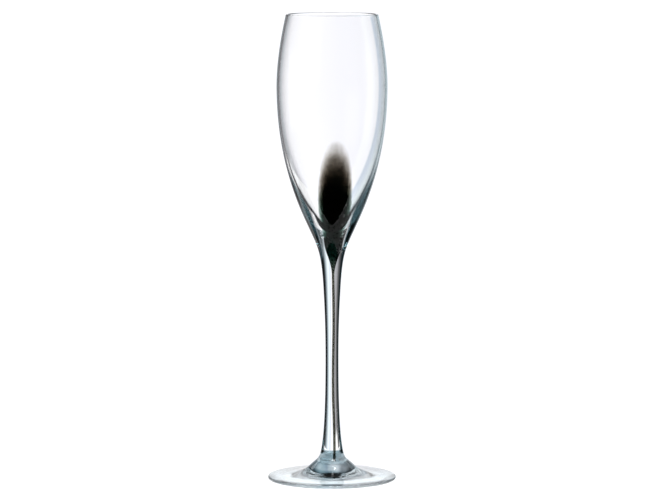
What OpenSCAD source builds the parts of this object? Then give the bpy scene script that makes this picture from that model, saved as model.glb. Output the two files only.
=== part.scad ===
// Champagne flute: a tall tulip bowl on a drawn stem and a spun foot, with
// a veil of smoke-black glass cased inside the bowl's wall and drawn down the
// stem as a thread. Millimetres, +Z up, origin on the table under the foot.

/* [Overall] */
// Height from the table to the top of the rim
height = 230; // [222:1:240]
// Turning steps round the axis
steps = 96; // [48:24:192]

/* [Bowl] */
// Outer diameter of the rim
rim_d = 45.6; // [43:0.2:48]
// Largest outer diameter of the bowl
belly_d = 54.6; // [53:0.2:57]
// Depth of the belly below the rim
belly_drop = 35.3; // [32:0.1:40]
// Wall of the bowl just below the rim
rim_wall = 1.05; // [0.9:0.05:1.3]
// Wall of the bowl at the belly
belly_wall = 1.2; // [1:0.05:1.6]
// Height of the weld line round the bowl, where the stem's cup ends
cup_z = 128.6; // [127.8:0.1:129.4]
// Lowest point of the inside of the bowl
inside_z = 124.2; // [123.4:0.1:125]

/* [Stem] */
// Diameter of the stem at its waist
waist_d = 6.4; // [6:0.1:8]
// Height of the waist
waist_z = 59.7; // [54:0.1:64]
// Height of the weld between the stem and the foot
weld_z = 12.8; // [12.2:0.1:13.4]
// Diameter of that weld
weld_d = 11.4; // [10.8:0.1:12.4]

/* [Foot] */
// Diameter of the foot
foot_d = 63.6; // [60:0.2:67]
// Thickness of the foot at its rounded edge
foot_edge = 1.6; // [1.4:0.1:2.2]
// Rise of the hollow under the foot
hollow_rise = 1.6; // [1:0.1:2]
// Inner diameter of the flat ring that the foot stands on
ring_d = 53; // [48:1:56]

/* [Colour] */
// Height of the tip of the smoke-black veil
veil_top = 170; // [162:1:174]
// Half the greatest width of the veil
veil_half = 8.6; // [7:0.2:9.4]
// Thickness of the veil
veil_skin = 0.4; // [0.3:0.05:0.5]
// Clear glass between the veil and the bowl's outside
veil_cover = 0.35; // [0.25:0.05:0.4]
// Turn of the veil to the right of the front, in degrees
veil_turn = 5; // [0:1:20]
// Diameter of the drop of colour under the bowl
drop_d = 6.4; // [5:0.2:7]
// Diameter of the thread drawn from the drop
thread_d = 0.9; // [0.6:0.1:1.4]
// Distance of the thread from the axis
thread_shift = 0.45; // [0:0.05:0.6]

/* [Hidden] */
$fn = steps;

clear_colour = [0.80, 0.90, 0.92, 0.35];
smoke_colour = [0.10, 0.08, 0.07, 0.9];

rim_r = rim_d / 2;
belly_r = belly_d / 2;
waist_r = waist_d / 2;
weld_r = weld_d / 2;
foot_r = foot_d / 2;
edge_r = foot_edge / 2;
drop_r = drop_d / 2;
thread_r = thread_d / 2;
belly_z = height - belly_drop;

// The rim is melted into a bead a little thicker than the wall under it.
bead_r = rim_wall / 2 + 0.12;

// Way down the bowl's outside at the weld line: this far in for each step down.
lean = [0.46, 1];
cup = [13.13, cup_z];
shoulder = cup - 4 * lean;

// Lowest point of the bowl's own glass, where it sits in the stem's cup.
seat_z = inside_z - 2.9;
// Where the colour's drop ends in the stem, where its thread is slim, and
// where the thread ends in the foot.
drop_end_z = seat_z - 12;
thread_top_z = seat_z - 20;
thread_low_z = weld_z - 6;

// Top of the slim shank, and the end of the foot's flared neck.
shank_top = [waist_r + 0.85, 91.8];
neck_end = [weld_r + 5.4, weld_z - 6.3];

// ---- curves -------------------------------------------------------------

// Point at t on the cubic curve with the four control points p.
function bezier(p, t) =
    pow(1 - t, 3) * p[0] + 3 * pow(1 - t, 2) * t * p[1]
    + 3 * (1 - t) * t * t * p[2] + pow(t, 3) * p[3];

// n points of that curve, with its last point left out.
function run(p, n) = [for (i = [0 : n - 1]) bezier(p, i / n)];

// Points of a circular arc from angle a to angle b, both ends included.
function arc(centre, r, a, b, n) =
    [for (i = [0 : n]) centre + r * [cos(a + (b - a) * i / n), sin(a + (b - a) * i / n)]];

// A list of points in the opposite order.
function reversed(points) = [for (i = [len(points) - 1 : -1 : 0]) points[i]];

// A list of points without its first one.
function rest_of(points) = [for (i = [1 : len(points) - 1]) points[i]];

// A run of points moved by d to the right of the way that it goes.
function let_in(points, d) = [
    for (i = [0 : len(points) - 2])
        let (
            ahead = points[i + 1] - points[i],
            behind = i == 0 ? ahead : points[i] - points[i - 1],
            way = ahead / norm(ahead) + behind / norm(behind)
        )
        points[i] + d * [way[1], -way[0]] / norm(way)
];

// Outside of the bowl, from under the rim down to the weld line.
under_rim = [rim_r, height - bead_r];
belly = [belly_r, belly_z];
upper_side = [under_rim, under_rim + [0.4, -2], belly + [0, 15.6], belly];
lower_side = [belly, belly - [0, 29.8], cup + 15 * lean, cup];

// Seat of the bowl in the stem's cup, from the weld line to the axis.
seat = [cup, cup - [3.6, 3.8], [5, seat_z], [0, seat_z]];

// Inside of the bowl, from under the rim down to its lowest point.
inner_rim = under_rim - [2 * bead_r - 0.05, 0];
inner_belly = belly - [belly_wall, 0];
inner_turn = [6.6, inside_z + 4.4];
inner_upper = [inner_rim, inner_rim + [0.4, -2], inner_belly + [0, 15.6], inner_belly];
inner_lower = [inner_belly, inner_belly - [0, 27.3], [19.6, inside_z + 20], inner_turn];
inner_tip = [inner_turn, inner_turn - 2.2 * [0.83, 1], [2.6, inside_z], [0, inside_z]];

// Outside of the stem, from its shoulder down to the foot's weld.
stem_shoulder = [shoulder, shoulder - 10 * lean, shank_top + [1, 20.6], shank_top];
stem_upper = [shank_top, shank_top - [0.6, 10], [waist_r, waist_z + 11], [waist_r, waist_z]];
stem_lower = [
    [waist_r, waist_z],
    [waist_r, waist_z - 17.4],
    [weld_r - 2.1, weld_z + 9],
    [weld_r, weld_z],
];

// Top of the foot, from the weld out to the rounded edge, and its hollow.
foot_neck = [
    [weld_r, weld_z],
    [weld_r + 1.2, weld_z - 3.5],
    neck_end + 3.4 * [-1, 1],
    neck_end,
];
foot_cone = [
    neck_end,
    neck_end + 4 * [1, -1],
    [foot_r - 10, foot_edge + 1],
    [foot_r - edge_r, foot_edge],
];
foot_hollow = [
    [ring_d / 2, 0],
    [ring_d / 2 - 9, hollow_rise - 0.3],
    [8, hollow_rise],
    [0, hollow_rise],
];

// ---- profiles -----------------------------------------------------------

side_points = run(lower_side, 16);
seat_points = concat(run(seat, 8), [[0, seat_z]]);

module bowl_profile() {
    rim = arc([rim_r - bead_r, height - bead_r], bead_r, 180, 0, 12);
    inside = concat(rest_of(run(inner_upper, 10)), run(inner_lower, 14), run(inner_tip, 6));
    polygon(concat(
        [[0, inside_z]],
        reversed(inside),
        rim,
        rest_of(run(upper_side, 10)),
        side_points,
        seat_points
    ));
}

module stem_profile() {
    polygon(concat(
        reversed(seat_points),
        run(stem_shoulder, 12),
        run(stem_upper, 8),
        run(stem_lower, 12),
        [[weld_r, weld_z], [0, weld_z]]
    ));
}

module foot_profile() {
    polygon(concat(
        [[0, weld_z]],
        run(foot_neck, 10),
        run(foot_cone, 10),
        arc([foot_r - edge_r, edge_r], edge_r, 90, -90, 10),
        run(foot_hollow, 10),
        [[0, hollow_rise]]
    ));
}

// Film of colour just inside the lower side of the bowl and its seat.
module film_profile() {
    skin = concat(side_points, seat_points);
    back = veil_cover + veil_skin;
    polygon(concat(
        let_in(skin, veil_cover),
        [[0, seat_z + veil_cover], [0, seat_z + back]],
        reversed(let_in(skin, back))
    ));
}

// Outline of the veil from the front: a flame that narrows to the drop.
module veil_outline() {
    root = [drop_r, seat_z - 1];
    widest = [veil_half, 140];
    tip = [0, veil_top];
    side = concat(
        run([root, root + [1.5, 4], widest - [0, 12], widest], 7),
        run([widest, widest + [0, 14], tip + [6.5, -1], tip], 9)
    );
    polygon(concat(side, [tip], reversed([for (p = side) [-p[0], p[1]]])));
}

// Drop of colour with the thread drawn from it, from above the seat down.
module drop_profile() {
    drawn = [
        [drop_r, seat_z + 1],
        [drop_r - 0.3, drop_end_z + 3],
        [thread_r, drop_end_z],
        [thread_r, thread_top_z],
    ];
    polygon(concat([[0, seat_z + 1]], run(drawn, 12), [[thread_r, thread_low_z], [0, thread_low_z]]));
}

// ---- sub-parts ----------------------------------------------------------

// The flame-shaped piece of that film, at the front of the bowl.
module film() {
    rotate([0, 0, veil_turn])
    intersection() {
        rotate_extrude() film_profile();
        rotate([90, 0, 0])
        translate([0, 0, -drop_r])
        linear_extrude(height = drop_r + belly_r) veil_outline();
    }
}

// Where the film comes out through the bowl's seat to meet the drop.
module root() {
    translate([thread_shift, 0, seat_z - 1])
    cylinder(r = drop_r, h = 1 + veil_cover + veil_skin);
}

// Smoke-black glass cased inside the bowl's wall.
module colour_veil() {
    color(smoke_colour)
    intersection() {
        rotate_extrude() bowl_profile();
        union() {
            film();
            root();
        }
    }
}

// Blown bowl, with the slit in its wall that the veil fills.
module bowl() {
    color(clear_colour)
    difference() {
        rotate_extrude() bowl_profile();
        film();
        root();
    }
}

module drop_and_thread() {
    translate([thread_shift, 0, 0])
    rotate_extrude() drop_profile();
}

// The drop and its thread, cut to the curve of the bowl's seat.
module colour_thread() {
    color(smoke_colour)
    difference() {
        drop_and_thread();
        rotate_extrude() bowl_profile();
    }
}

// Drawn stem: a cup under the bowl, a slim shank and a flared end.
module stem() {
    color(clear_colour)
    difference() {
        rotate_extrude() stem_profile();
        drop_and_thread();
    }
}

// Spun foot: a flared neck, a low cone, a rounded edge and a hollow under it.
module foot() {
    color(clear_colour)
    difference() {
        rotate_extrude() foot_profile();
        drop_and_thread();
    }
}

bowl();
stem();
foot();
colour_veil();
colour_thread();
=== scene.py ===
"""Champagne flute in clear glass with a veil and a thread of smoke-black glass.

Three turned pieces of clear glass are fused into one another: the blown bowl,
the drawn stem and the spun foot. A flame of smoke-black glass is cased inside
the bowl's wall and runs down the stem as a thread. Metres, +Z up, with the
origin on the table under the foot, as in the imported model.
"""

from __future__ import annotations

import logging
import math
from collections.abc import Callable, Sequence
from dataclasses import dataclass
from enum import Enum

import bpy
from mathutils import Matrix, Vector, noise


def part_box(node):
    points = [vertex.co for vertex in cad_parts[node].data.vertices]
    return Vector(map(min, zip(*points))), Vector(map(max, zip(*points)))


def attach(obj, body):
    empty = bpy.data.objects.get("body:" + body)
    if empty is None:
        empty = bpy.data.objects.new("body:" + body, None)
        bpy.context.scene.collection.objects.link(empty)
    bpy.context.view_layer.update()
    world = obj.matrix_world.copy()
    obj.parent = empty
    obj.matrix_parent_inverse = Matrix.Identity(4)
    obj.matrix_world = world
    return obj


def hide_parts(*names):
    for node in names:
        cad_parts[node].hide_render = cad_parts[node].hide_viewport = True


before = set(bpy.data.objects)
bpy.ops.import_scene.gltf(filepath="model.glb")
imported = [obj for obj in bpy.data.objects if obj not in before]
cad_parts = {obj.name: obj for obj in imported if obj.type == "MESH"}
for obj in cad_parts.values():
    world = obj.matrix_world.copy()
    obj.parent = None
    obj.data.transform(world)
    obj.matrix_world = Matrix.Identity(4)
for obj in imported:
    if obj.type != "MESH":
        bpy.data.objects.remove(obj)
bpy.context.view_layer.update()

log = logging.getLogger("champagne_flute")

MM = 0.001
ON_AXIS = 0.5e-6  # a radius, in metres, that counts as none
BODY = "root"

Pair = tuple[float, float]
Colour = tuple[float, float, float]
Place = tuple[float, float, float]
Stops = Sequence[tuple[float, Colour]]
Ripple = Callable[[float, float, float], float]
Socket = bpy.types.NodeSocket
Piece = bpy.types.Object

WHITE: Colour = (1.0, 1.0, 1.0)
BLACK: Colour = (0.0, 0.0, 0.0)

EVEN: Place = (1.0, 1.0, 1.0)  # the size of a noise that isn't drawn out
SPREAD: Pair = (0.3, 0.7)  # where nearly all the values of a noise lie
FAINT: Pair = (0.985, 1.0)  # brightness that a faint noise varies between


# ---- curves and turned meshes ----


def at_mm(radius: float, height: float) -> Vector:
    """Returns a point of a profile from its radius and height in millimetres."""
    return Vector((radius * MM, height * MM))


@dataclass(frozen=True)
class Curve:
    """One cubic curve of a turned profile, in radius and height."""

    start: Vector
    leave: Vector
    arrive: Vector
    end: Vector

    def point(self, t: float) -> Vector:
        """Returns the point at t, from 0 at the start to 1 at the end."""
        u = 1.0 - t
        return (
            self.start * u**3
            + self.leave * (3 * u * u * t)
            + self.arrive * (3 * u * t * t)
            + self.end * t**3
        )

    def outward(self, t: float) -> Vector:
        """Returns the direction across the curve at t, away from its glass."""
        u = 1.0 - t
        way = (
            (self.leave - self.start) * (u * u)
            + (self.arrive - self.leave) * (2 * u * t)
            + (self.end - self.arrive) * (t * t)
        ).normalized()
        return Vector((-way.y, way.x))

    def run(self, count: int) -> list[Vector]:
        """Returns count points of the curve, with its last point left out."""
        return [self.point(i / count) for i in range(count)]


def curve_mm(*pairs: Pair) -> Curve:
    """Returns a curve from four pairs of radius and height in millimetres."""
    return Curve(*(at_mm(*pair) for pair in pairs))


def arc(centre: Vector, radius: float, turn: Pair, count: int) -> list[Vector]:
    """Returns the points of a circular arc, both ends included.

    Args:
        centre: Centre of the arc, in radius and height.
        radius: Its radius in metres.
        turn: Its first and last angle in degrees.
        count: How many steps the arc is cut into.
    """
    first, last = (math.radians(angle) for angle in turn)
    angles = [first + (last - first) * i / count for i in range(count + 1)]
    return [centre + Vector((math.cos(a), math.sin(a))) * radius for a in angles]


class Skin(Enum):
    """What a face of a clear piece is: outside, fused to glass, or inside."""

    POLISHED = 0
    FUSED = 1
    INSIDE = 2


@dataclass
class Band:
    """A stretch of a turned profile whose faces are all of one kind."""

    points: list[Vector]
    skin: Skin = Skin.POLISHED
    ripple: Ripple | None = None


class GlassMesh:
    """The points and faces of one closed piece of glass."""

    steps = 192

    def __init__(self, name: str) -> None:
        """Starts an empty mesh with that piece name."""
        self.name = name
        self.points: list[Vector] = []
        self.faces: list[tuple[int, ...]] = []
        self.kinds: list[int] = []
        self.places: dict[int, Pair] = {}

    def add(self, point: Vector) -> int:
        """Adds one point and returns its number."""
        self.points.append(point)
        return len(self.points) - 1

    def join(self, corners: Sequence[int], skin: Skin = Skin.POLISHED) -> None:
        """Adds one face, leaving out a corner that it would hold twice."""
        kept = tuple(dict.fromkeys(corners))
        self.faces.append(kept)
        self.kinds.append(skin.value)

    def ring(self, place: Vector, centre: Vector, ripple: Ripple | None) -> list[int]:
        """Adds the points of one turn of the lathe.

        Args:
            place: Radius and height of the turn.
            centre: Where the piece's own axis stands, in x and y.
            ripple: How far the surface moves out at an angle, radius and height.

        Returns:
            The numbers of its points, all the same on the axis.
        """
        if place.x < ON_AXIS:
            return [self.add(Vector((centre.x, centre.y, place.y)))] * self.steps
        numbers = []
        for step in range(self.steps):
            angle = math.tau * step / self.steps
            radius = place.x + (ripple(angle, place.x, place.y) if ripple else 0.0)
            x = centre.x + radius * math.cos(angle)
            y = centre.y + radius * math.sin(angle)
            numbers.append(self.add(Vector((x, y, place.y))))
        return numbers

    def turn(self, bands: Sequence[Band], centre: Vector | None = None) -> None:
        """Turns a profile round the axis, from the axis back to the axis.

        Args:
            bands: The stretches of the profile, in order, each starting where
                the one before it ends.
            centre: Where the axis stands in x and y, when it isn't the origin.
        """
        centre = centre or Vector((0.0, 0.0))
        rows = [
            (self.ring(place, centre, band.ripple), band.skin)
            for band in bands
            for place in band.points
        ]
        for (upper, skin), (lower, _) in zip(rows, rows[1:]):
            for step in range(self.steps):
                after = (step + 1) % self.steps
                corners = (upper[step], lower[step], lower[after], upper[after])
                if len(set(corners)) > 2:
                    self.join(corners, skin)

    def build(self, finishes: Sequence[bpy.types.Material]) -> Piece:
        """Makes the Blender object of the piece.

        Args:
            finishes: Its materials, in the order of the Skin values.

        Returns:
            The object, smooth all over but for the edges between two skins.
        """
        mesh = bpy.data.meshes.new(self.name)
        mesh.from_pydata(self.points, [], self.faces)
        for finish in finishes:
            mesh.materials.append(finish)
        mesh.polygons.foreach_set("material_index", self.kinds)
        mesh.polygons.foreach_set("use_smooth", [True] * len(mesh.polygons))
        self.mark_seams(mesh)
        if self.places:
            self.lay_out(mesh)
        mesh.update()
        piece = bpy.data.objects.new(self.name, mesh)
        bpy.context.scene.collection.objects.link(piece)
        return piece

    def mark_seams(self, mesh: bpy.types.Mesh) -> None:
        """Keeps the shading apart along each edge where the skin changes."""
        sides: dict[tuple[int, int], set[int]] = {}
        for face in mesh.polygons:
            for key in face.edge_keys:
                sides.setdefault(key, set()).add(face.material_index)
        for edge in mesh.edges:
            edge.use_edge_sharp = len(sides.get(edge.key, ())) > 1

    def lay_out(self, mesh: bpy.types.Mesh) -> None:
        """Gives each corner its place across and along the piece."""
        layer = mesh.uv_layers.new(name="place")
        for loop in mesh.loops:
            layer.data[loop.index].uv = self.places[loop.vertex_index]


# ---- shader nodes ----


class NodeSheet:
    """Adds and links the nodes of one material or of the world."""

    def __init__(self, tree: bpy.types.NodeTree) -> None:
        """Clears the tree and keeps it."""
        tree.nodes.clear()
        self.tree = tree

    def add(
        self, kind: str, inputs: dict[str, object] | None = None, **settings: object
    ) -> bpy.types.Node:
        """Adds a node, sets its properties and feeds its inputs."""
        node = self.tree.nodes.new(kind)
        for name, value in settings.items():
            setattr(node, name, value)
        for name, value in (inputs or {}).items():
            self.feed(node.inputs[name], value)
        return node

    def feed(self, socket: Socket, value: object) -> None:
        """Links another node's output to a socket, or sets the socket's value."""
        if isinstance(value, Socket):
            self.tree.links.new(value, socket)
        else:
            socket.default_value = value

    def sum(self, operation: str, *values: object) -> Socket:
        """Returns the result of one Math node."""
        node = self.add("ShaderNodeMath", operation=operation)
        for socket, value in zip(node.inputs, values):
            self.feed(socket, value)
        return node.outputs["Value"]

    def span(
        self,
        value: object,
        low: float,
        high: float,
        to: Pair = (0.0, 1.0),
        smooth: bool = False,
    ) -> Socket:
        """Returns a value brought from the span low to high onto another.

        Args:
            value: The value or the socket to bring over.
            low: Where the span starts.
            high: Where it ends.
            to: What the two ends become.
            smooth: Whether the change eases in and out.
        """
        names = ("Value", "From Min", "From Max", "To Min", "To Max")
        node = self.add(
            "ShaderNodeMapRange",
            dict(zip(names, (value, low, high, *to))),
            interpolation_type="SMOOTHSTEP" if smooth else "LINEAR",
        )
        return node.outputs["Result"]

    def ramp(self, value: object, stops: Stops, smooth: bool = False) -> Socket:
        """Returns the colour that a colour ramp gives for a value.

        Args:
            value: A value from 0 to 1.
            stops: Places and colours, in order.
            smooth: Whether the colours ease into one another.
        """
        node = self.add("ShaderNodeValToRGB", {"Fac": value})
        ramp = node.color_ramp
        ramp.interpolation = "EASE" if smooth else "LINEAR"
        while len(ramp.elements) < len(stops):
            ramp.elements.new(0.5)
        for element, (place, colour) in zip(ramp.elements, stops):
            element.position = place
            element.color = (*colour, 1.0)
        return node.outputs["Color"]

    def blend(self, mode: str, amount: object, first: object, second: object) -> Socket:
        """Returns two colours laid over each other in a blend mode."""
        node = self.add("ShaderNodeMix", {"Factor": amount}, data_type="RGBA", blend_type=mode)
        colours = [socket for socket in node.inputs if socket.type == "RGBA"]
        for socket, value in zip(colours, (first, second)):
            self.feed(socket, value if isinstance(value, Socket) else (*value, 1.0))
        return next(socket for socket in node.outputs if socket.type == "RGBA")

    def grain(self, where: Socket, size: Place, scale: float, detail: float) -> Socket:
        """Returns a cloudy noise that may be drawn out along an axis.

        Args:
            where: The coordinates that it is laid in.
            size: How much finer it is along x, y and z.
            scale: Its overall fineness.
            detail: How many octaves it has.
        """
        stretch = self.add("ShaderNodeMapping", {"Vector": where, "Scale": size})
        spot = stretch.outputs["Vector"]
        inputs = {"Vector": spot, "Scale": scale, "Detail": detail}
        return self.add("ShaderNodeTexNoise", inputs).outputs["Fac"]

    def part(self, where: Socket, axis: str) -> Socket:
        """Returns the part of a place or a direction that lies along X, Y or Z."""
        return self.add("ShaderNodeSeparateXYZ", {"Vector": where}).outputs[axis]

    def surface(self, shader: bpy.types.Node) -> None:
        """Makes a shader node the material's surface."""
        self.add("ShaderNodeOutputMaterial", {"Surface": shader.outputs["BSDF"]})

    def see_through(self, colour: Socket) -> None:
        """Makes the surface let light straight through, dyed in a colour."""
        self.surface(self.add("ShaderNodeBsdfTransparent", {"Color": colour}))


# ---- finishes ----


@dataclass(frozen=True)
class Finish:
    """What a face is made of, under the name of its material."""

    name: str

    def make(self) -> bpy.types.Material:
        """Returns the material."""
        material = bpy.data.materials.new(self.name)
        material.use_nodes = True
        sheet = NodeSheet(material.node_tree)
        self.dress(sheet, sheet.add("ShaderNodeTexCoord").outputs["Object"])
        return material

    def dress(self, sheet: NodeSheet, where: Socket) -> None:
        """Adds the finish's own nodes.

        Args:
            sheet: The sheet that they go on.
            where: The spot on the piece, in metres.
        """
        raise NotImplementedError


@dataclass(frozen=True)
class ClearGlass(Finish):
    """Polished clear glass, with painted shade where it is seen at a slant.

    It is heart seen face on, and rim where it is seen at a slant, from
    edge_shade_from to edge_shade_to of the Layer Weight node: the rim is a dark
    teal painted edge shade, standing in for the dark surroundings that glass
    bends into view at its edges. Down from deep_shade_above to deep_shade_below
    the slant counts for more, by deep_shade_boost, and the rim turns to depth, a
    near-black painted shade on the lower bowl. Round the piece's own origin, from
    core_from in to core_to, the heart turns to core_shade: mostly painted shade,
    partly the deeper tint of the thicker glass there.
    """

    heart: Colour = (0.99, 0.992, 1.0)
    # rim is the painted edge shade, dark teal; depth is the near-black painted shade of the
    # lower bowl
    rim: Colour = (0.05, 0.09, 0.105)
    depth: Colour = (0.003, 0.010, 0.013)
    gloss: float = 0.3
    # Layer Weight span over which the painted edge shade comes in
    edge_shade_from: float = 0.70
    edge_shade_to: float = 0.82
    # Heights over which the painted shade deepens down the lower bowl, and by how much
    deep_shade_below: float = 0.132
    deep_shade_above: float = 0.160
    deep_shade_boost: float = 0.42
    # Colour towards the piece's origin: where set dark, mostly painted shade, partly the tint
    # of thicker glass
    core_shade: Colour = (0.99, 0.992, 1.0)
    core_from: float = 0.019
    core_to: float = 0.010
    core_patches: float = 110.0
    core_stray: float = 0.003
    index: float = 1.5
    cords: float = 90.0
    ripples: float = 60.0
    ripple: float = 0.010
    scuffs: float = 900.0
    scuffed: float = 0.22
    scuffed_to: float = 0.35 * MM

    def dress(self, sheet: NodeSheet, where: Socket) -> None:
        """Adds the finish's own nodes."""
        height = sheet.part(where, "Z")
        # Painted edge shade: the colour darkens where the surface is seen at a slant
        facing = sheet.add("ShaderNodeLayerWeight").outputs["Facing"]
        # Painted shade: lower on the bowl the slant counts for more, and the edge shade turns
        # near-black
        deep = sheet.span(height, self.deep_shade_above, self.deep_shade_below, smooth=True)
        slant = sheet.sum("MULTIPLY_ADD", deep, self.deep_shade_boost, facing)
        edge = sheet.span(slant, self.edge_shade_from, self.edge_shade_to, smooth=True)
        shade = sheet.blend("MIX", deep, self.rim, self.depth)
        # Painted shade towards the piece's origin, partly the deeper tint of thick glass
        apart = sheet.add("ShaderNodeVectorMath", {"Vector": where}, operation="LENGTH")
        patches = sheet.grain(where, EVEN, self.core_patches, 2.0)
        stray = sheet.span(patches, *SPREAD, (-self.core_stray, self.core_stray))
        reach = sheet.sum("ADD", apart.outputs["Value"], stray)
        near = sheet.span(reach, self.core_from, self.core_to, smooth=True)
        body = sheet.blend("MIX", near, self.heart, self.core_shade)
        # The glass's face-on colour, darkened by the painted edge shade and lower-bowl shade
        tint = sheet.blend("MIX", edge, body, shade)
        cords = sheet.grain(where, (1.0, 1.0, 0.12), self.cords, 2.0)
        faint = sheet.span(cords, *SPREAD, FAINT)
        colour = sheet.blend("MULTIPLY", 1.0, tint, faint)
        ripples = sheet.grain(where, (1.0, 1.0, 0.2), self.ripples, 1.0)
        bumps = {"Strength": self.ripple, "Distance": MM, "Height": ripples}
        bump = sheet.add("ShaderNodeBump", bumps)
        scuffs = sheet.grain(where, EVEN, self.scuffs, 3.0)
        low = sheet.span(height, 0.0, self.scuffed_to, (self.scuffed, 0.0))
        rough = sheet.sum("MULTIPLY", low, scuffs)
        glass = {
            "Base Color": colour,
            "Roughness": rough,
            "Normal": bump.outputs["Normal"],
            "IOR": self.index,
            "Transmission Weight": 1.0,
            "Specular Tint": (*(self.gloss,) * 3, 1.0),
        }
        sheet.surface(sheet.add("ShaderNodeBsdfPrincipled", glass))


@dataclass(frozen=True)
class FusedGlass(Finish):
    """The face where one piece of clear glass is melted into another."""

    tint: Colour = (0.995, 0.998, 0.998)
    seeds: float = 700.0

    def dress(self, sheet: NodeSheet, where: Socket) -> None:
        """Adds the finish's own nodes, which let light straight through."""
        seeds = sheet.grain(where, EVEN, self.seeds, 1.0)
        sheet.see_through(sheet.ramp(seeds, ((0.3, self.tint), (0.8, WHITE)), smooth=True))


@dataclass(frozen=True)
class SmokeVeil(Finish):
    """Smoke-black glass that thins out to a brown haze at its edges and tip.

    The depths are the film's optical depth at heights in millimetres. Down from
    bottle_from to bottle_to its tone goes from haze to bottle, the shares of the
    depth that it takes from red, green and blue light.
    """

    haze: Colour = (0.93, 0.99, 1.09)
    bottle: Colour = (1.2, 0.94, 1.02)
    bottle_from: float = 0.150
    bottle_to: float = 0.128
    depths: tuple[tuple[float, float], ...] = (
        (126.0, 6.0),
        (131.0, 12.0),
        (140.3, 14.0),
        (145.3, 10.0),
        (150.4, 7.0),
        (154.4, 4.6),
        (158.0, 2.9),
        (160.4, 2.25),
        (162.3, 1.43),
        (164.2, 0.82),
        (167.0, 0.45),
        (170.0, 0.0),
    )
    taper: float = 1.4
    streaks: float = 700.0
    streak: float = 0.16
    feather: float = 0.02

    def dress(self, sheet: NodeSheet, where: Socket) -> None:
        """Adds the finish's own nodes, whose two faces share the film's depth."""
        inward = sheet.part(sheet.add("ShaderNodeTexCoord").outputs["UV"], "X")
        height = sheet.part(where, "Z")
        streaks = sheet.grain(where, (1.0, 1.0, 0.12), self.streaks, 3.0)
        thick, thin = 1.0 + self.streak, 1.0 - self.streak
        uneven = sheet.span(streaks, 0.25, 0.75, (thin, thick))
        feather = sheet.span(streaks, 0.25, 0.75, (-self.feather, self.feather))
        side = sheet.sum("SUBTRACT", 1.0, sheet.sum("ADD", inward, feather))
        body = sheet.sum("SUBTRACT", 1.0, sheet.sum("MULTIPLY", side, side))
        across = sheet.sum("POWER", sheet.sum("MAXIMUM", body, 0.0), self.taper)
        low, high = self.depths[0][0] * MM, self.depths[-1][0] * MM
        deepest = max(depth for _, depth in self.depths)
        stops = [
            ((z * MM - low) / (high - low), (depth / deepest,) * 3)
            for z, depth in self.depths
        ]
        along = sheet.ramp(sheet.span(height, low, high), stops)
        depth = sheet.sum("MULTIPLY", sheet.sum("MULTIPLY", along, across), uneven)
        half = sheet.sum("MULTIPLY", depth, deepest / 2)
        deep = sheet.span(height, self.bottle_from, self.bottle_to, smooth=True)
        smoke = sheet.add("ShaderNodeCombineColor")
        for channel, haze, bottle in zip(("Red", "Green", "Blue"), self.haze, self.bottle):
            taken = sheet.span(deep, 0.0, 1.0, (haze, bottle))
            lost = sheet.sum("MULTIPLY", half, sheet.sum("MULTIPLY", taken, -1.0))
            sheet.feed(smoke.inputs[channel], sheet.sum("EXPONENT", lost))
        sheet.see_through(smoke.outputs["Color"])


@dataclass(frozen=True)
class SmokeThread(Finish):
    """The same glass drawn out into a drop and a thread inside the stem."""

    drop: Colour = (0.03, 0.08, 0.065)
    drawn: Colour = (0.30, 0.30, 0.27)
    drop_z: float = 0.114
    drawn_z: float = 0.098
    streaks: float = 1500.0

    def dress(self, sheet: NodeSheet, where: Socket) -> None:
        """Adds the finish's own nodes."""
        fade = sheet.span(sheet.part(where, "Z"), self.drawn_z, self.drop_z, smooth=True)
        colour = sheet.ramp(fade, ((0.0, self.drawn), (1.0, self.drop)))
        streaks = sheet.grain(where, (1.0, 1.0, 0.06), self.streaks, 2.0)
        uneven = sheet.span(streaks, *SPREAD, (0.92, 1.0))
        sheet.see_through(sheet.blend("MULTIPLY", 1.0, colour, uneven))


@dataclass(frozen=True)
class PaleCard(Finish):
    """Matt pale card that the flute stands on."""

    colour: Colour = (0.86, 0.86, 0.87)
    fibres: float = 400.0

    def dress(self, sheet: NodeSheet, where: Socket) -> None:
        """Adds the finish's own nodes."""
        fibres = sheet.grain(where, EVEN, self.fibres, 3.0)
        faint = sheet.span(fibres, *SPREAD, FAINT)
        card = {
            "Base Color": sheet.blend("MULTIPLY", 1.0, self.colour, faint),
            "Roughness": 0.9,
            "Specular IOR Level": 0.0,
        }
        sheet.surface(sheet.add("ShaderNodeBsdfPrincipled", card))


# ---- pieces of the flute ----


@dataclass(frozen=True)
class Joints:
    """Sizes that the bowl, the stem, the foot and the colour share."""

    height: float = 230.0
    cup: Pair = (13.13, 128.6)
    lean: Pair = (0.46, 1.0)
    inside_z: float = 124.2
    seat_drop: float = 2.9
    weld: Pair = (5.7, 12.8)
    thread_shift: float = 0.45
    drop_r: float = 3.2
    thread_r: float = 0.45

    @property
    def seat_z(self) -> float:
        """Lowest point of the bowl's own glass."""
        return self.inside_z - self.seat_drop

    def beside_cup(self, down: float) -> Pair:
        """Returns the point of the bowl's outside that far below the weld line."""
        return self.cup[0] - self.lean[0] * down, self.cup[1] - self.lean[1] * down

    def seat(self) -> Curve:
        """Returns the curve of the bowl's seat, from the weld line to the axis."""
        r, z = self.cup
        return curve_mm((r, z), (r - 3.6, z - 3.8), (5, self.seat_z), (0, self.seat_z))


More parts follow.
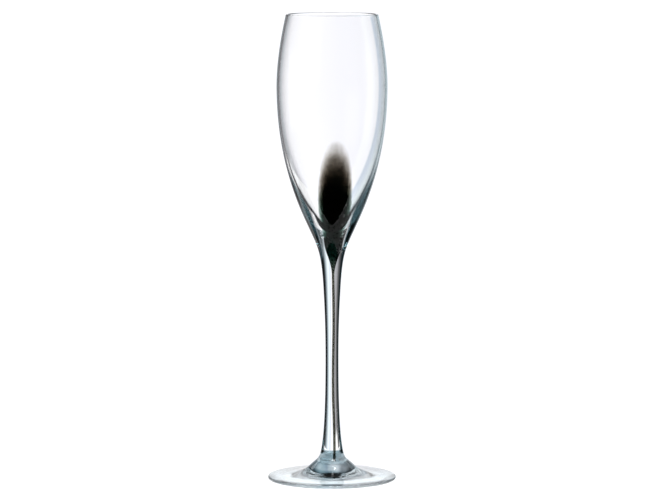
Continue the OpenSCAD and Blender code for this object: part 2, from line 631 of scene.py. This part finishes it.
@dataclass(frozen=True)
class Veil:
    """The flame of smoke-black glass, cased inside the bowl's wall.

    Its film lies cover deep in the wall and is skin thick, but for its edge,
    which thins out to the share edge_share of that.
    """

    top: float = 170.5
    half: float = 8.7
    widest_z: float = 142.0
    crown: float = 2.6
    flank: float = 2.4
    skin: float = 0.4
    cover: float = 0.35
    edge_share: float = 0.12
    least_half: float = 0.05
    turn: float = 5.0
    rows: int = 72
    columns: int = 28
    gap: float = 0.02
    plug_round: float = 0.2
    sizes: Joints = Joints()

    def half_width(self, z: float) -> float:
        """Returns half the veil's width at a height, both in millimetres."""
        root_z = self.sizes.seat_z - 1
        if z > self.widest_z:
            t = min(1.0, (z - self.widest_z) / (self.top - self.widest_z))
            return self.half * math.sqrt(max(0.0, 1.0 - t**self.crown))
        t = max(0.0, (z - root_z) / (self.widest_z - root_z))
        ease = 1.0 - (1.0 - t) ** self.flank
        return self.sizes.drop_r + (self.half - self.sizes.drop_r) * ease

    def outside(self, side: Curve) -> list[tuple[Vector, Vector]]:
        """Returns places on the bowl's outside under the veil, and the way out."""
        steps = 240
        near_axis = 0.97
        found = []
        for curve, end in ((side, 1.0), (self.sizes.seat(), near_axis)):
            for i in range(steps):
                t = end * i / steps
                place = curve.point(t)
                if place.y <= self.top * MM:
                    found.append((place, curve.outward(t)))
        last = len(found) - 1
        return [found[round(i * last / self.rows)] for i in range(self.rows + 1)]

    def film(self, side: Curve, shrink: float) -> GlassMesh:
        """Lays out the flame-shaped film.

        Args:
            side: The lower side of the bowl, from the belly to the weld line.
            shrink: How much smaller than its slot the film is, in millimetres.

        Returns:
            A closed mesh whose points know how near the film's edge they are.
        """
        mesh = GlassMesh("film")
        skin = self.outside(side)
        rings = []
        for row, (place, out) in enumerate(skin):
            down = row / (len(skin) - 1)
            half = max(self.half_width(place.y / MM) - shrink, self.least_half)
            reach = math.asin(min(1.0, half * MM / place.x))
            to_seat = min(1.0, (1.0 - down) * 6 + 0.10)
            middle = self.cover * to_seat + self.skin / 2 + shrink
            front, back = [], []
            for column in range(self.columns + 1):
                u = 2 * column / self.columns - 1
                thick = self.thickness(u, down) - 2 * shrink
                angle = math.radians(self.turn - 90.0) + u * reach
                for line, depth in ((front, middle - thick / 2), (back, middle + thick / 2)):
                    spot = place - out * (depth * MM)
                    radius = max(spot.x, 0.02 * MM)
                    x, y = radius * math.cos(angle), radius * math.sin(angle)
                    number = mesh.add(Vector((x, y, spot.y)))
                    mesh.places[number] = (1 - abs(u), down)
                    line.append(number)
            rings.append(front + back[::-1])
        for upper, lower in zip(rings, rings[1:]):
            for k in range(len(upper)):
                mesh.join((upper[k - 1], lower[k - 1], lower[k], upper[k]))
        tip, end = rings[0], rings[-1]
        for c in range(self.columns):
            mesh.join((tip[c], tip[c + 1], tip[-2 - c], tip[-1 - c]))
            mesh.join((end[-1 - c], end[-2 - c], end[c + 1], end[c]))
        return mesh

    def thickness(self, across: float, down: float) -> float:
        """Returns the film's thickness, from -1 to 1 across it and 0 to 1 down."""
        at_side = max(self.edge_share, 1 - abs(across) ** 3)
        at_tip = max(self.edge_share, min(1.0, down * 8))
        return self.skin * at_side * at_tip

    def root(self, shrink: float) -> GlassMesh:
        """Returns the plug that joins the film to the drop under the bowl."""
        mesh = GlassMesh("root")
        mesh.steps = 48
        above_seat = 0.03
        low = self.sizes.seat_z + above_seat + shrink
        high = self.sizes.seat_z + self.cover + self.skin - shrink
        r = self.sizes.drop_r - shrink
        bend = at_mm(r - self.plug_round, high - self.plug_round)
        ease = arc(bend, self.plug_round * MM, (90.0, 0.0), 4)
        plug = Band([at_mm(0, high), *ease, at_mm(r, low), at_mm(0, low)])
        mesh.turn([plug], Vector((self.sizes.thread_shift * MM, 0.0)))
        for number in range(len(mesh.points)):
            mesh.places[number] = (1.0, 1.0)
        return mesh

    def solid(self, side: Curve, shrink: float) -> GlassMesh:
        """Returns the film and its root as one closed mesh.

        Args:
            side: The lower side of the bowl.
            shrink: How much smaller than its slot it is, in millimetres.
        """
        film = self.film(side, shrink).build([])
        root = self.root(shrink).build([])
        join = film.modifiers.new("join", "BOOLEAN")
        join.operation = "UNION"
        join.solver = "EXACT"
        join.object = root
        cast = film.evaluated_get(bpy.context.evaluated_depsgraph_get())
        whole = cast.to_mesh()
        mesh = GlassMesh("smoke_veil")
        for vertex in whole.vertices:
            mesh.add(vertex.co.copy())
        layer = whole.uv_layers[0]
        for face in whole.polygons:
            mesh.join(tuple(face.vertices))
            for loop, vertex in zip(face.loop_indices, face.vertices):
                mesh.places[vertex] = tuple(layer.data[loop].uv)
        cast.to_mesh_clear()
        for spare in (film, root):
            data = spare.data
            bpy.data.objects.remove(spare)
            bpy.data.meshes.remove(data)
        return mesh

    def carve(self, mesh: GlassMesh, side: Curve) -> None:
        """Cuts the slot that the film fills into the bowl's mesh.

        Args:
            mesh: The bowl's mesh.
            side: The lower side of the bowl.
        """
        slot = self.solid(side, 0.0)
        first = len(mesh.points)
        mesh.points.extend(slot.points)
        for face in slot.faces:
            mesh.join([first + number for number in reversed(face)], Skin.FUSED)

    def make(self, side: Curve, finish: SmokeVeil) -> Piece:
        """Returns the veil in its finish."""
        return self.solid(side, self.gap).build([finish.make()])


@dataclass(frozen=True)
class Bowl:
    """The tall blown tulip, with a melted rim and a pointed inside."""

    rim_r: float = 22.8
    belly_r: float = 27.3
    belly_drop: float = 35.3
    rim_wall: float = 1.05
    belly_wall: float = 1.2
    rim_swell: float = 0.12
    lip: Pair = (0.4, 2.0)
    upper_pull: float = 15.6
    lower_pull: float = 29.8
    inner_pull: float = 27.3
    ripple: float = 0.012
    calm_r: float = 12.0
    calm_top: float = 3.0
    sizes: Joints = Joints()
    veil: Veil = Veil()

    @property
    def bead_r(self) -> float:
        """Radius of the melted bead at the rim."""
        return self.rim_wall / 2 + self.rim_swell

    @property
    def belly_z(self) -> float:
        """Height of the widest part."""
        return self.sizes.height - self.belly_drop

    def lower_side(self) -> Curve:
        """Returns the outside from the belly down to the weld line."""
        return curve_mm(
            (self.belly_r, self.belly_z),
            (self.belly_r, self.belly_z - self.lower_pull),
            self.sizes.beside_cup(-15),
            self.sizes.cup,
        )

    def upper_side(self, rim_r: float, belly_r: float) -> Curve:
        """Returns the curve from under the rim down to the belly.

        Args:
            rim_r: Its radius under the rim, in millimetres.
            belly_r: Its radius at the belly.
        """
        top = self.sizes.height - self.bead_r
        return curve_mm(
            (rim_r, top),
            (rim_r + self.lip[0], top - self.lip[1]),
            (belly_r, self.belly_z + self.upper_pull),
            (belly_r, self.belly_z),
        )

    def inside(self) -> list[Vector]:
        """Returns the inside, from its lowest point up to the rim's bead."""
        overlap = 0.05
        belly_r = self.belly_r - self.belly_wall
        low = self.sizes.inside_z
        turn_r, turn_z = 6.6, low + 4.4
        upper = self.upper_side(self.rim_r - 2 * self.bead_r + overlap, belly_r)
        lower = curve_mm(
            (belly_r, self.belly_z),
            (belly_r, self.belly_z - self.inner_pull),
            (19.6, low + 20),
            (turn_r, turn_z),
        )
        tip = curve_mm(
            (turn_r, turn_z),
            (turn_r - 2.2 * 0.83, turn_z - 2.2),
            (2.6, low),
            (0, low),
        )
        down = upper.run(40)[1:] + lower.run(72) + tip.run(28)
        return [at_mm(0, low)] + down[::-1]

    def unevenness(self, angle: float, radius: float, height: float) -> float:
        """Returns how far the blown inside strays from a true circle there."""
        around, along = 1.3, 0.018
        x, y = math.cos(angle) * around, math.sin(angle) * around
        spot = Vector((x, y, height / MM * along))
        at_axis = min(1.0, radius / (self.calm_r * MM))
        below_rim = self.sizes.height - self.calm_top - height / MM
        at_rim = min(1.0, max(0.0, below_rim / self.calm_r))
        return noise.noise(spot) * self.ripple * MM * (at_axis * at_rim)

    def make(self, clear: ClearGlass, fused: FusedGlass, inside: ClearGlass) -> Piece:
        """Returns the bowl, with the slot that the veil fills.

        Args:
            clear: The finish of its outside.
            fused: The finish of the faces that meet other glass.
            inside: The finish of its inside.
        """
        mesh = GlassMesh("blown_bowl")
        bead = at_mm(self.rim_r - self.bead_r, self.sizes.height - self.bead_r)
        rim = arc(bead, self.bead_r * MM, (180.0, 0.0), 24)
        upper = self.upper_side(self.rim_r, self.belly_r)
        outside = rim + upper.run(40)[1:] + self.lower_side().run(96)
        seat = self.sizes.seat().run(48) + [at_mm(0, self.sizes.seat_z)]
        inner = Band(self.inside(), Skin.INSIDE, self.unevenness)
        mesh.turn([inner, Band(outside), Band(seat, Skin.FUSED)])
        self.veil.carve(mesh, self.lower_side())
        return mesh.build([clear.make(), fused.make(), inside.make()])


@dataclass(frozen=True)
class Thread:
    """The drop of smoke-black glass under the bowl, drawn down the stem."""

    drop_fall: float = 12.0
    slim_fall: float = 20.0
    sway: float = 0.10
    gap: float = 0.02
    weld_gap: float = 0.05
    tail: float = 6.0
    drift: float = 0.3
    drift_from: float = 82.0
    drift_over: float = 26.0
    sizes: Joints = Joints()

    def tail_profile(self, shrink: float) -> list[Vector]:
        """Returns the thread's tail, from the foot's weld down into the foot."""
        weld_z = self.sizes.weld[1]
        top, low = weld_z - self.weld_gap - shrink, weld_z - self.tail + shrink
        radius = self.sizes.thread_r - shrink
        side = [at_mm(radius, top + (low - top) * i / 12) for i in range(13)]
        return [at_mm(0, top), *side, at_mm(0, low)]

    def profile(self, shrink: float) -> list[Vector]:
        """Returns the drop and thread, from the seat down to the foot's weld."""
        sizes = self.sizes
        below_seat = 0.02
        top, slim_z = sizes.seat_z - below_seat - shrink, sizes.seat_z - self.slim_fall
        drop_r, thread_r = sizes.drop_r - shrink, sizes.thread_r - shrink
        drawn = curve_mm(
            (drop_r, top),
            (drop_r - 0.3, sizes.seat_z - self.drop_fall + 3),
            (thread_r, sizes.seat_z - self.drop_fall),
            (thread_r, slim_z),
        )
        fall = sizes.weld[1] + self.weld_gap + shrink - slim_z
        shank = [at_mm(thread_r, slim_z + fall * i / 90) for i in range(91)]
        return [at_mm(0, top), *drawn.run(48), *shank, at_mm(0, slim_z + fall)]

    def lean(self, point: Vector) -> Vector:
        """Returns a point moved with the slight sway of the drawn thread."""
        fall = max(0.0, self.sizes.seat_z * MM - point.z) / MM
        ease = min(1.0, fall / self.slim_fall)
        low = max(0.0, fall - self.drift_from) / self.drift_over
        aside = low * self.drift - math.sin(fall * 0.11) * self.sway * ease
        behind = math.sin(fall * 0.07 + 0.6) * self.sway * ease
        return point + Vector((aside * MM, behind * MM, 0.0))

    def fill(self, mesh: GlassMesh, profile: list[Vector], hollow: bool = False) -> None:
        """Adds a stretch of the thread to a mesh, or the channel that it fills.

        Args:
            mesh: The mesh that it goes into.
            profile: Half of its outline, from its top down.
            hollow: Whether the faces look into the channel.
        """
        first_point, first_face = len(mesh.points), len(mesh.faces)
        skin = Skin.FUSED if hollow else Skin.POLISHED
        centre = Vector((self.sizes.thread_shift * MM, 0.0))
        steps = mesh.steps
        mesh.steps = 32
        mesh.turn([Band(profile, skin)], centre)
        mesh.steps = steps
        for number in range(first_point, len(mesh.points)):
            mesh.points[number] = self.lean(mesh.points[number])
        if hollow:
            for number in range(first_face, len(mesh.faces)):
                mesh.faces[number] = mesh.faces[number][::-1]

    def make(self, finish: SmokeThread) -> Piece:
        """Returns the drop and thread in their finish."""
        mesh = GlassMesh("smoke_thread")
        self.fill(mesh, self.profile(self.gap))
        self.fill(mesh, self.tail_profile(self.gap))
        return mesh.build([finish.make()])


@dataclass(frozen=True)
class Stem:
    """The drawn stem: a cup under the bowl, a slim shank and a flared end."""

    waist_r: float = 3.2
    waist_z: float = 59.7
    shank_r: float = 4.05
    shank_z: float = 91.8
    sizes: Joints = Joints()
    thread: Thread = Thread()

    def outside(self) -> list[Vector]:
        """Returns the outside, from the weld line down to the foot."""
        sizes = self.sizes
        weld_r, weld_z = sizes.weld
        shoulder = sizes.beside_cup(4)
        shank = (self.shank_r, self.shank_z)
        waist = (self.waist_r, self.waist_z)
        neck = curve_mm(
            shoulder,
            sizes.beside_cup(14),
            (self.shank_r + 1, self.shank_z + 20.6),
            shank,
        )
        slim = curve_mm(
            shank,
            (self.shank_r - 0.6, self.shank_z - 10),
            (self.waist_r, self.waist_z + 11),
            waist,
        )
        flare = curve_mm(
            waist,
            (self.waist_r, self.waist_z - 17.4),
            (weld_r - 2.1, weld_z + 9),
            (weld_r, weld_z),
        )
        collar = [at_mm(*sizes.beside_cup(4 * i / 8)) for i in range(8)]
        return collar + neck.run(56) + slim.run(36) + flare.run(56)

    def make(self, clear: ClearGlass, fused: FusedGlass) -> Piece:
        """Returns the stem, with the channel that the thread fills."""
        mesh = GlassMesh("drawn_stem")
        cup = (self.sizes.seat().run(48) + [at_mm(0, self.sizes.seat_z)])[::-1]
        weld_r, weld_z = self.sizes.weld
        weld = [at_mm(weld_r * (1 - i / 12), weld_z) for i in range(13)]
        bands = (Band(cup[:-1], Skin.FUSED), Band(self.outside()), Band(weld, Skin.FUSED))
        mesh.turn(bands)
        self.thread.fill(mesh, self.thread.profile(0.0), hollow=True)
        return mesh.build([clear.make(), fused.make()])


@dataclass(frozen=True)
class Foot:
    """The spun foot: a flared neck, a low cone, a rounded edge and a hollow."""

    radius: float = 31.8
    edge: float = 1.6
    hollow_rise: float = 1.6
    ring_r: float = 26.5
    ripple: float = 0.6
    sizes: Joints = Joints()
    thread: Thread = Thread()

    def waves(self, angle: float, radius: float, height: float) -> float:
        """Returns how far the spun underside strays from true there."""
        around, outward = 3.2, 6
        share = radius / (self.ring_r * MM)
        x, y = math.cos(angle) * around * share, math.sin(angle) * around * share
        at_axis = min(1.0, share * 3)
        at_ring = max(0.0, min(1.0, (1 - share) * 5))
        depth = noise.noise(Vector((x, y, share * outward)))
        return depth * self.ripple * MM * (at_axis * at_ring)

    def make(self, clear: ClearGlass, fused: FusedGlass) -> Piece:
        """Returns the foot."""
        weld_r, weld_z = self.sizes.weld
        neck_r, neck_z = weld_r + 5.4, weld_z - 6.3
        edge_r = self.edge / 2
        neck = curve_mm(
            (weld_r, weld_z),
            (weld_r + 1.2, weld_z - 3.5),
            (neck_r - 3.4, neck_z + 3.4),
            (neck_r, neck_z),
        )
        cone = curve_mm(
            (neck_r, neck_z),
            (neck_r + 4, neck_z - 4),
            (self.radius - 10, self.edge + 1),
            (self.radius - edge_r, self.edge),
        )
        hollow = curve_mm(
            (self.ring_r, 0),
            (self.ring_r - 9, self.hollow_rise - 0.3),
            (8, self.hollow_rise),
            (0, self.hollow_rise),
        )
        middle = at_mm(self.radius - edge_r, edge_r)
        rounded = arc(middle, edge_r * MM, (90.0, -90.0), 20)
        mesh = GlassMesh("spun_foot")
        mesh.turn(
            [
                Band([at_mm(weld_r * i / 12, weld_z) for i in range(12)], Skin.FUSED),
                Band(neck.run(32) + cone.run(56) + rounded),
                Band(hollow.run(56) + [at_mm(0, self.hollow_rise)], ripple=self.waves),
            ]
        )
        self.thread.fill(mesh, self.thread.tail_profile(0.0), hollow=True)
        return mesh.build([clear.make(), fused.make()])


# ---- studio ----

REACH = 60.0  # degrees to either side that a panel's stops run to


@dataclass(frozen=True)
class Panel:
    """A stretch of the studio's wall, seen from where the flute stands.

    Its stops run to REACH degrees on either side of its bearing, and to rise
    degrees above and below its height.
    """

    bearing: float
    height: float
    across: Stops
    upright: Stops
    rise: float = REACH


def at_angles(reach: float, tones: Stops) -> Stops:
    """Returns stops whose places are angles, brought to places from 0 to 1.

    Args:
        reach: The angle that the stops run to on either side, in degrees.
        tones: Angles from the panel's middle and the colours there.
    """
    return tuple((0.5 + angle / (2 * reach), tone) for angle, tone in tones)


def soft_edges(full: float, gone: float, tone: Colour = WHITE) -> Stops:
    """Returns the stops of a panel that is alike on both sides.

    Args:
        full: How far from its middle it is fully bright, in degrees.
        gone: Where it has faded out.
        tone: Its colour.
    """
    sides = ((-gone, BLACK), (-full, tone), (full, tone), (gone, BLACK))
    return at_angles(REACH, sides)


@dataclass(frozen=True)
class Studio:
    """The camera, a pale card under the flute and the lights.

    The wall is how bright the studio's wall is behind the flute, and spread is
    how bright it is where no panel hangs.
    """

    eye: Place = (0.0, -1.718, 0.299)
    aim: Place = (0.0, 0.0, 0.1144)
    lens: float = 189.2
    sensor: float = 36.0
    shift: Pair = (0.00225, -0.00165)
    floor_half: Pair = (0.178, 0.068)
    floor_y: float = -0.033
    floor_round: float = 0.02
    floor_thick: float = 0.00004
    lamp_at: Place = (0.0, 0.1, 1.6)
    lamp_size: float = 1.3
    lamp_power: float = 33.0
    wall: float = 1.12
    spread: float = 0.02

    def place_camera(self) -> None:
        """Puts up the camera, at the flute's own viewing angle."""
        data = bpy.data.cameras.new("camera")
        data.lens = self.lens
        data.sensor_width = self.sensor
        data.shift_x, data.shift_y = self.shift
        camera = bpy.data.objects.new("camera", data)
        camera.location = self.eye
        way = Vector(self.aim) - Vector(self.eye)
        camera.rotation_euler = way.to_track_quat("-Z", "Y").to_euler()
        bpy.context.scene.collection.objects.link(camera)
        bpy.context.scene.camera = camera

    def lay_floor(self) -> Piece:
        """Lays the thin pale card under the flute, and returns it."""
        mesh = GlassMesh("pale_floor")
        half_x, half_y = (half - self.floor_round for half in self.floor_half)
        outline = []
        for sign_x, sign_y, first in ((1, 1, 0), (-1, 1, 90), (-1, -1, 180), (1, -1, 270)):
            centre = Vector((sign_x * half_x, sign_y * half_y + self.floor_y))
            outline += arc(centre, self.floor_round, (first, first + 90), 12)
        top = -0.05 * MM
        low = top - self.floor_thick
        upper = [mesh.add(Vector((p.x, p.y, top))) for p in outline]
        lower = [mesh.add(Vector((p.x, p.y, low))) for p in outline]
        mesh.join(upper)
        mesh.join(lower[::-1])
        for i in range(len(outline)):
            mesh.join((upper[i - 1], lower[i - 1], lower[i], upper[i]))
        floor = mesh.build([PaleCard("pale_card").make()])
        for face in floor.data.polygons:
            face.use_smooth = False
        return floor

    def hang_light(self, floor: Piece) -> None:
        """Hangs the large soft light that fills the card evenly.

        Args:
            floor: The card, which alone takes and stops its light.
        """
        data = bpy.data.lights.new("overhead", "AREA")
        data.shape = "DISK"
        data.size = self.lamp_size
        data.energy = self.lamp_power
        light = bpy.data.objects.new("overhead", data)
        light.location = self.lamp_at
        card = bpy.data.collections.new("card")
        card.objects.link(floor)
        light.light_linking.receiver_collection = card
        light.light_linking.blocker_collection = card
        bpy.context.scene.collection.objects.link(light)

    def panels(self) -> list[Panel]:
        """Returns the stretches of the studio's wall that light the glass."""
        lit = (self.wall,) * 3
        tones = (
            (-58.0, (0.02, 0.02, 0.02)),
            (-50.0, (0.19, 0.20, 0.21)),
            (-40.0, (0.19, 0.20, 0.21)),
            (-33.0, (0.12, 0.12, 0.125)),
            (-29.0, (0.15, 0.15, 0.155)),
            (-20.0, (0.42, 0.42, 0.44)),
            (-14.0, (0.42, 0.42, 0.44)),
            (-11.0, (0.70, 0.71, 0.74)),
            (-8.5, (0.98, 0.98, 1.02)),
            (-6.0, (1.12, 1.12, 1.14)),
            (-1.0, (1.10, 1.10, 1.12)),
            (0.4, (1.03, 1.03, 1.07)),
            (2.3, (1.02, 1.02, 1.06)),
            (2.7, (1.09, 1.10, 1.12)),
            (5.6, (1.08, 1.09, 1.12)),
            (6.3, (0.70, 0.78, 0.88)),
            (8.5, (0.80, 0.88, 0.97)),
            (13.0, (1.0, 1.09, 1.13)),
            (18.0, (0.95, 1.06, 1.10)),
            (23.0, (0.62, 0.70, 0.74)),
            (31.0, (0.20, 0.25, 0.28)),
            (40.0, (0.02, 0.03, 0.03)),
        )
        rise = 90.0
        deep = ((-42.0, BLACK), (-39.0, WHITE), (22.0, WHITE), (40.0, BLACK))
        front = Panel(90.0, -3.0, at_angles(REACH, tones), at_angles(rise, deep), rise=rise)
        tall = soft_edges(8.0, 14.0)
        wide = soft_edges(9.0, 24.0, lit)
        table = soft_edges(10.0, 14.0, lit)
        patch = soft_edges(7.0, 9.0, lit)
        board = soft_edges(16.0, 22.0, (0.50, 0.58, 0.63))
        box = soft_edges(7.0, 9.0, (1.6, 1.65, 1.7))
        spark = soft_edges(30.0, 38.0, (12.0, 12.2, 12.4))
        return [
            front,
            Panel(106.0, -31.0, table, soft_edges(15.0, 18.0)),
            Panel(38.0, 24.0, board, soft_edges(12.0, 16.0)),
            Panel(132.0, 30.0, box, soft_edges(7.0, 9.0)),
            Panel(292.0, 72.0, spark, soft_edges(7.0, 9.0)),
            Panel(135.0, -25.0, patch, soft_edges(5.0, 6.5)),
            Panel(180.0, -3.0, wide, tall),
            Panel(315.0, -15.0, wide, tall),
        ]

    def light_wall(self) -> None:
        """Lights the studio's wall behind the flute in each direction."""
        world = bpy.data.worlds.new("studio")
        bpy.context.scene.world = world
        world.use_nodes = True
        sheet = NodeSheet(world.node_tree)
        way = sheet.add("ShaderNodeTexCoord").outputs["Generated"]
        turned = sheet.sum("ARCTAN2", sheet.part(way, "Y"), sheet.part(way, "X"))
        bearing = sheet.sum("MULTIPLY", turned, math.degrees(1.0))
        raised = sheet.sum("ARCSINE", sheet.part(way, "Z"))
        height = sheet.sum("MULTIPLY", raised, math.degrees(1.0))
        glow: object = (self.spread,) * 3
        for panel in self.panels():
            aside = sheet.sum("SUBTRACT", panel.bearing, bearing)
            right = sheet.sum("WRAP", aside, 180.0, -180.0)
            up = sheet.sum("SUBTRACT", height, panel.height)
            across = sheet.span(right, -REACH, REACH)
            upright = sheet.span(up, -panel.rise, panel.rise)
            wide = sheet.ramp(across, panel.across)
            tall = sheet.ramp(upright, panel.upright)
            glow = sheet.blend("LIGHTEN", 1.0, glow, sheet.blend("MULTIPLY", 1.0, wide, tall))
        back = sheet.add("ShaderNodeBackground", {"Color": glow})
        sheet.add("ShaderNodeOutputWorld", {"Surface": back.outputs["Background"]})

    def set_rays(self) -> None:
        """Lets rays pass through all the walls of the flute."""
        scene = bpy.context.scene
        scene.view_settings.view_transform = "Standard"
        bounces = 32
        scene.cycles.max_bounces = bounces
        scene.cycles.transmission_bounces = bounces
        scene.cycles.glossy_bounces = bounces // 2
        scene.cycles.transparent_max_bounces = bounces

    def build(self) -> None:
        """Sets up the camera, the card and the lights."""
        self.place_camera()
        self.hang_light(self.lay_floor())
        self.light_wall()
        self.set_rays()


def keep(piece: Piece, node: str) -> None:
    """Makes a piece stand for its CAD node.

    Args:
        piece: The piece that is shown.
        node: The CAD node that it replaces.
    """
    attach(piece, BODY)
    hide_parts(node)
    low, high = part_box(node)
    log.info(
        "%s for %s: %.1f to %.1f mm high, %d faces",
        piece.name,
        node,
        low.z / MM,
        high.z / MM,
        len(piece.data.polygons),
    )


def main() -> None:
    """Builds the studio and the pieces of the flute, and reports each one."""
    logging.basicConfig(level=logging.INFO, format="%(name)s: %(message)s")
    Studio().build()
    fused = FusedGlass("fused_face")
    bowl = Bowl()
    # The inside keeps only a thin painted edge shade, at the most grazing slant
    inside = ClearGlass("bowl_inside", deep_shade_boost=0.0, edge_shade_from=0.97, edge_shade_to=1.0)
    keep(bowl.make(ClearGlass("bowl_glass"), fused, inside), "bowl")
    # The stem's painted edge shade starts at a lesser slant, for wide dark edges
    stem_glass = ClearGlass("stem_glass", edge_shade_from=0.62, edge_shade_to=0.84)
    keep(Stem().make(stem_glass, fused), "stem")
    # The foot's core is a dark painted shade near the neck, and its painted edge shade runs
    # wide
    foot_glass = ClearGlass(
        "foot_glass",
        heart=(0.84, 0.91, 0.94),
        core_shade=(0.11, 0.19, 0.23),
        gloss=1.0,
        deep_shade_boost=0.0,
        edge_shade_from=0.72,
        edge_shade_to=0.96,
    )
    keep(Foot().make(foot_glass, fused), "foot")
    keep(Veil().make(bowl.lower_side(), SmokeVeil("smoke_film")), "colour_veil")
    keep(Thread().make(SmokeThread("smoke_drawn")), "colour_thread")


if __name__ == "__main__":
    main()
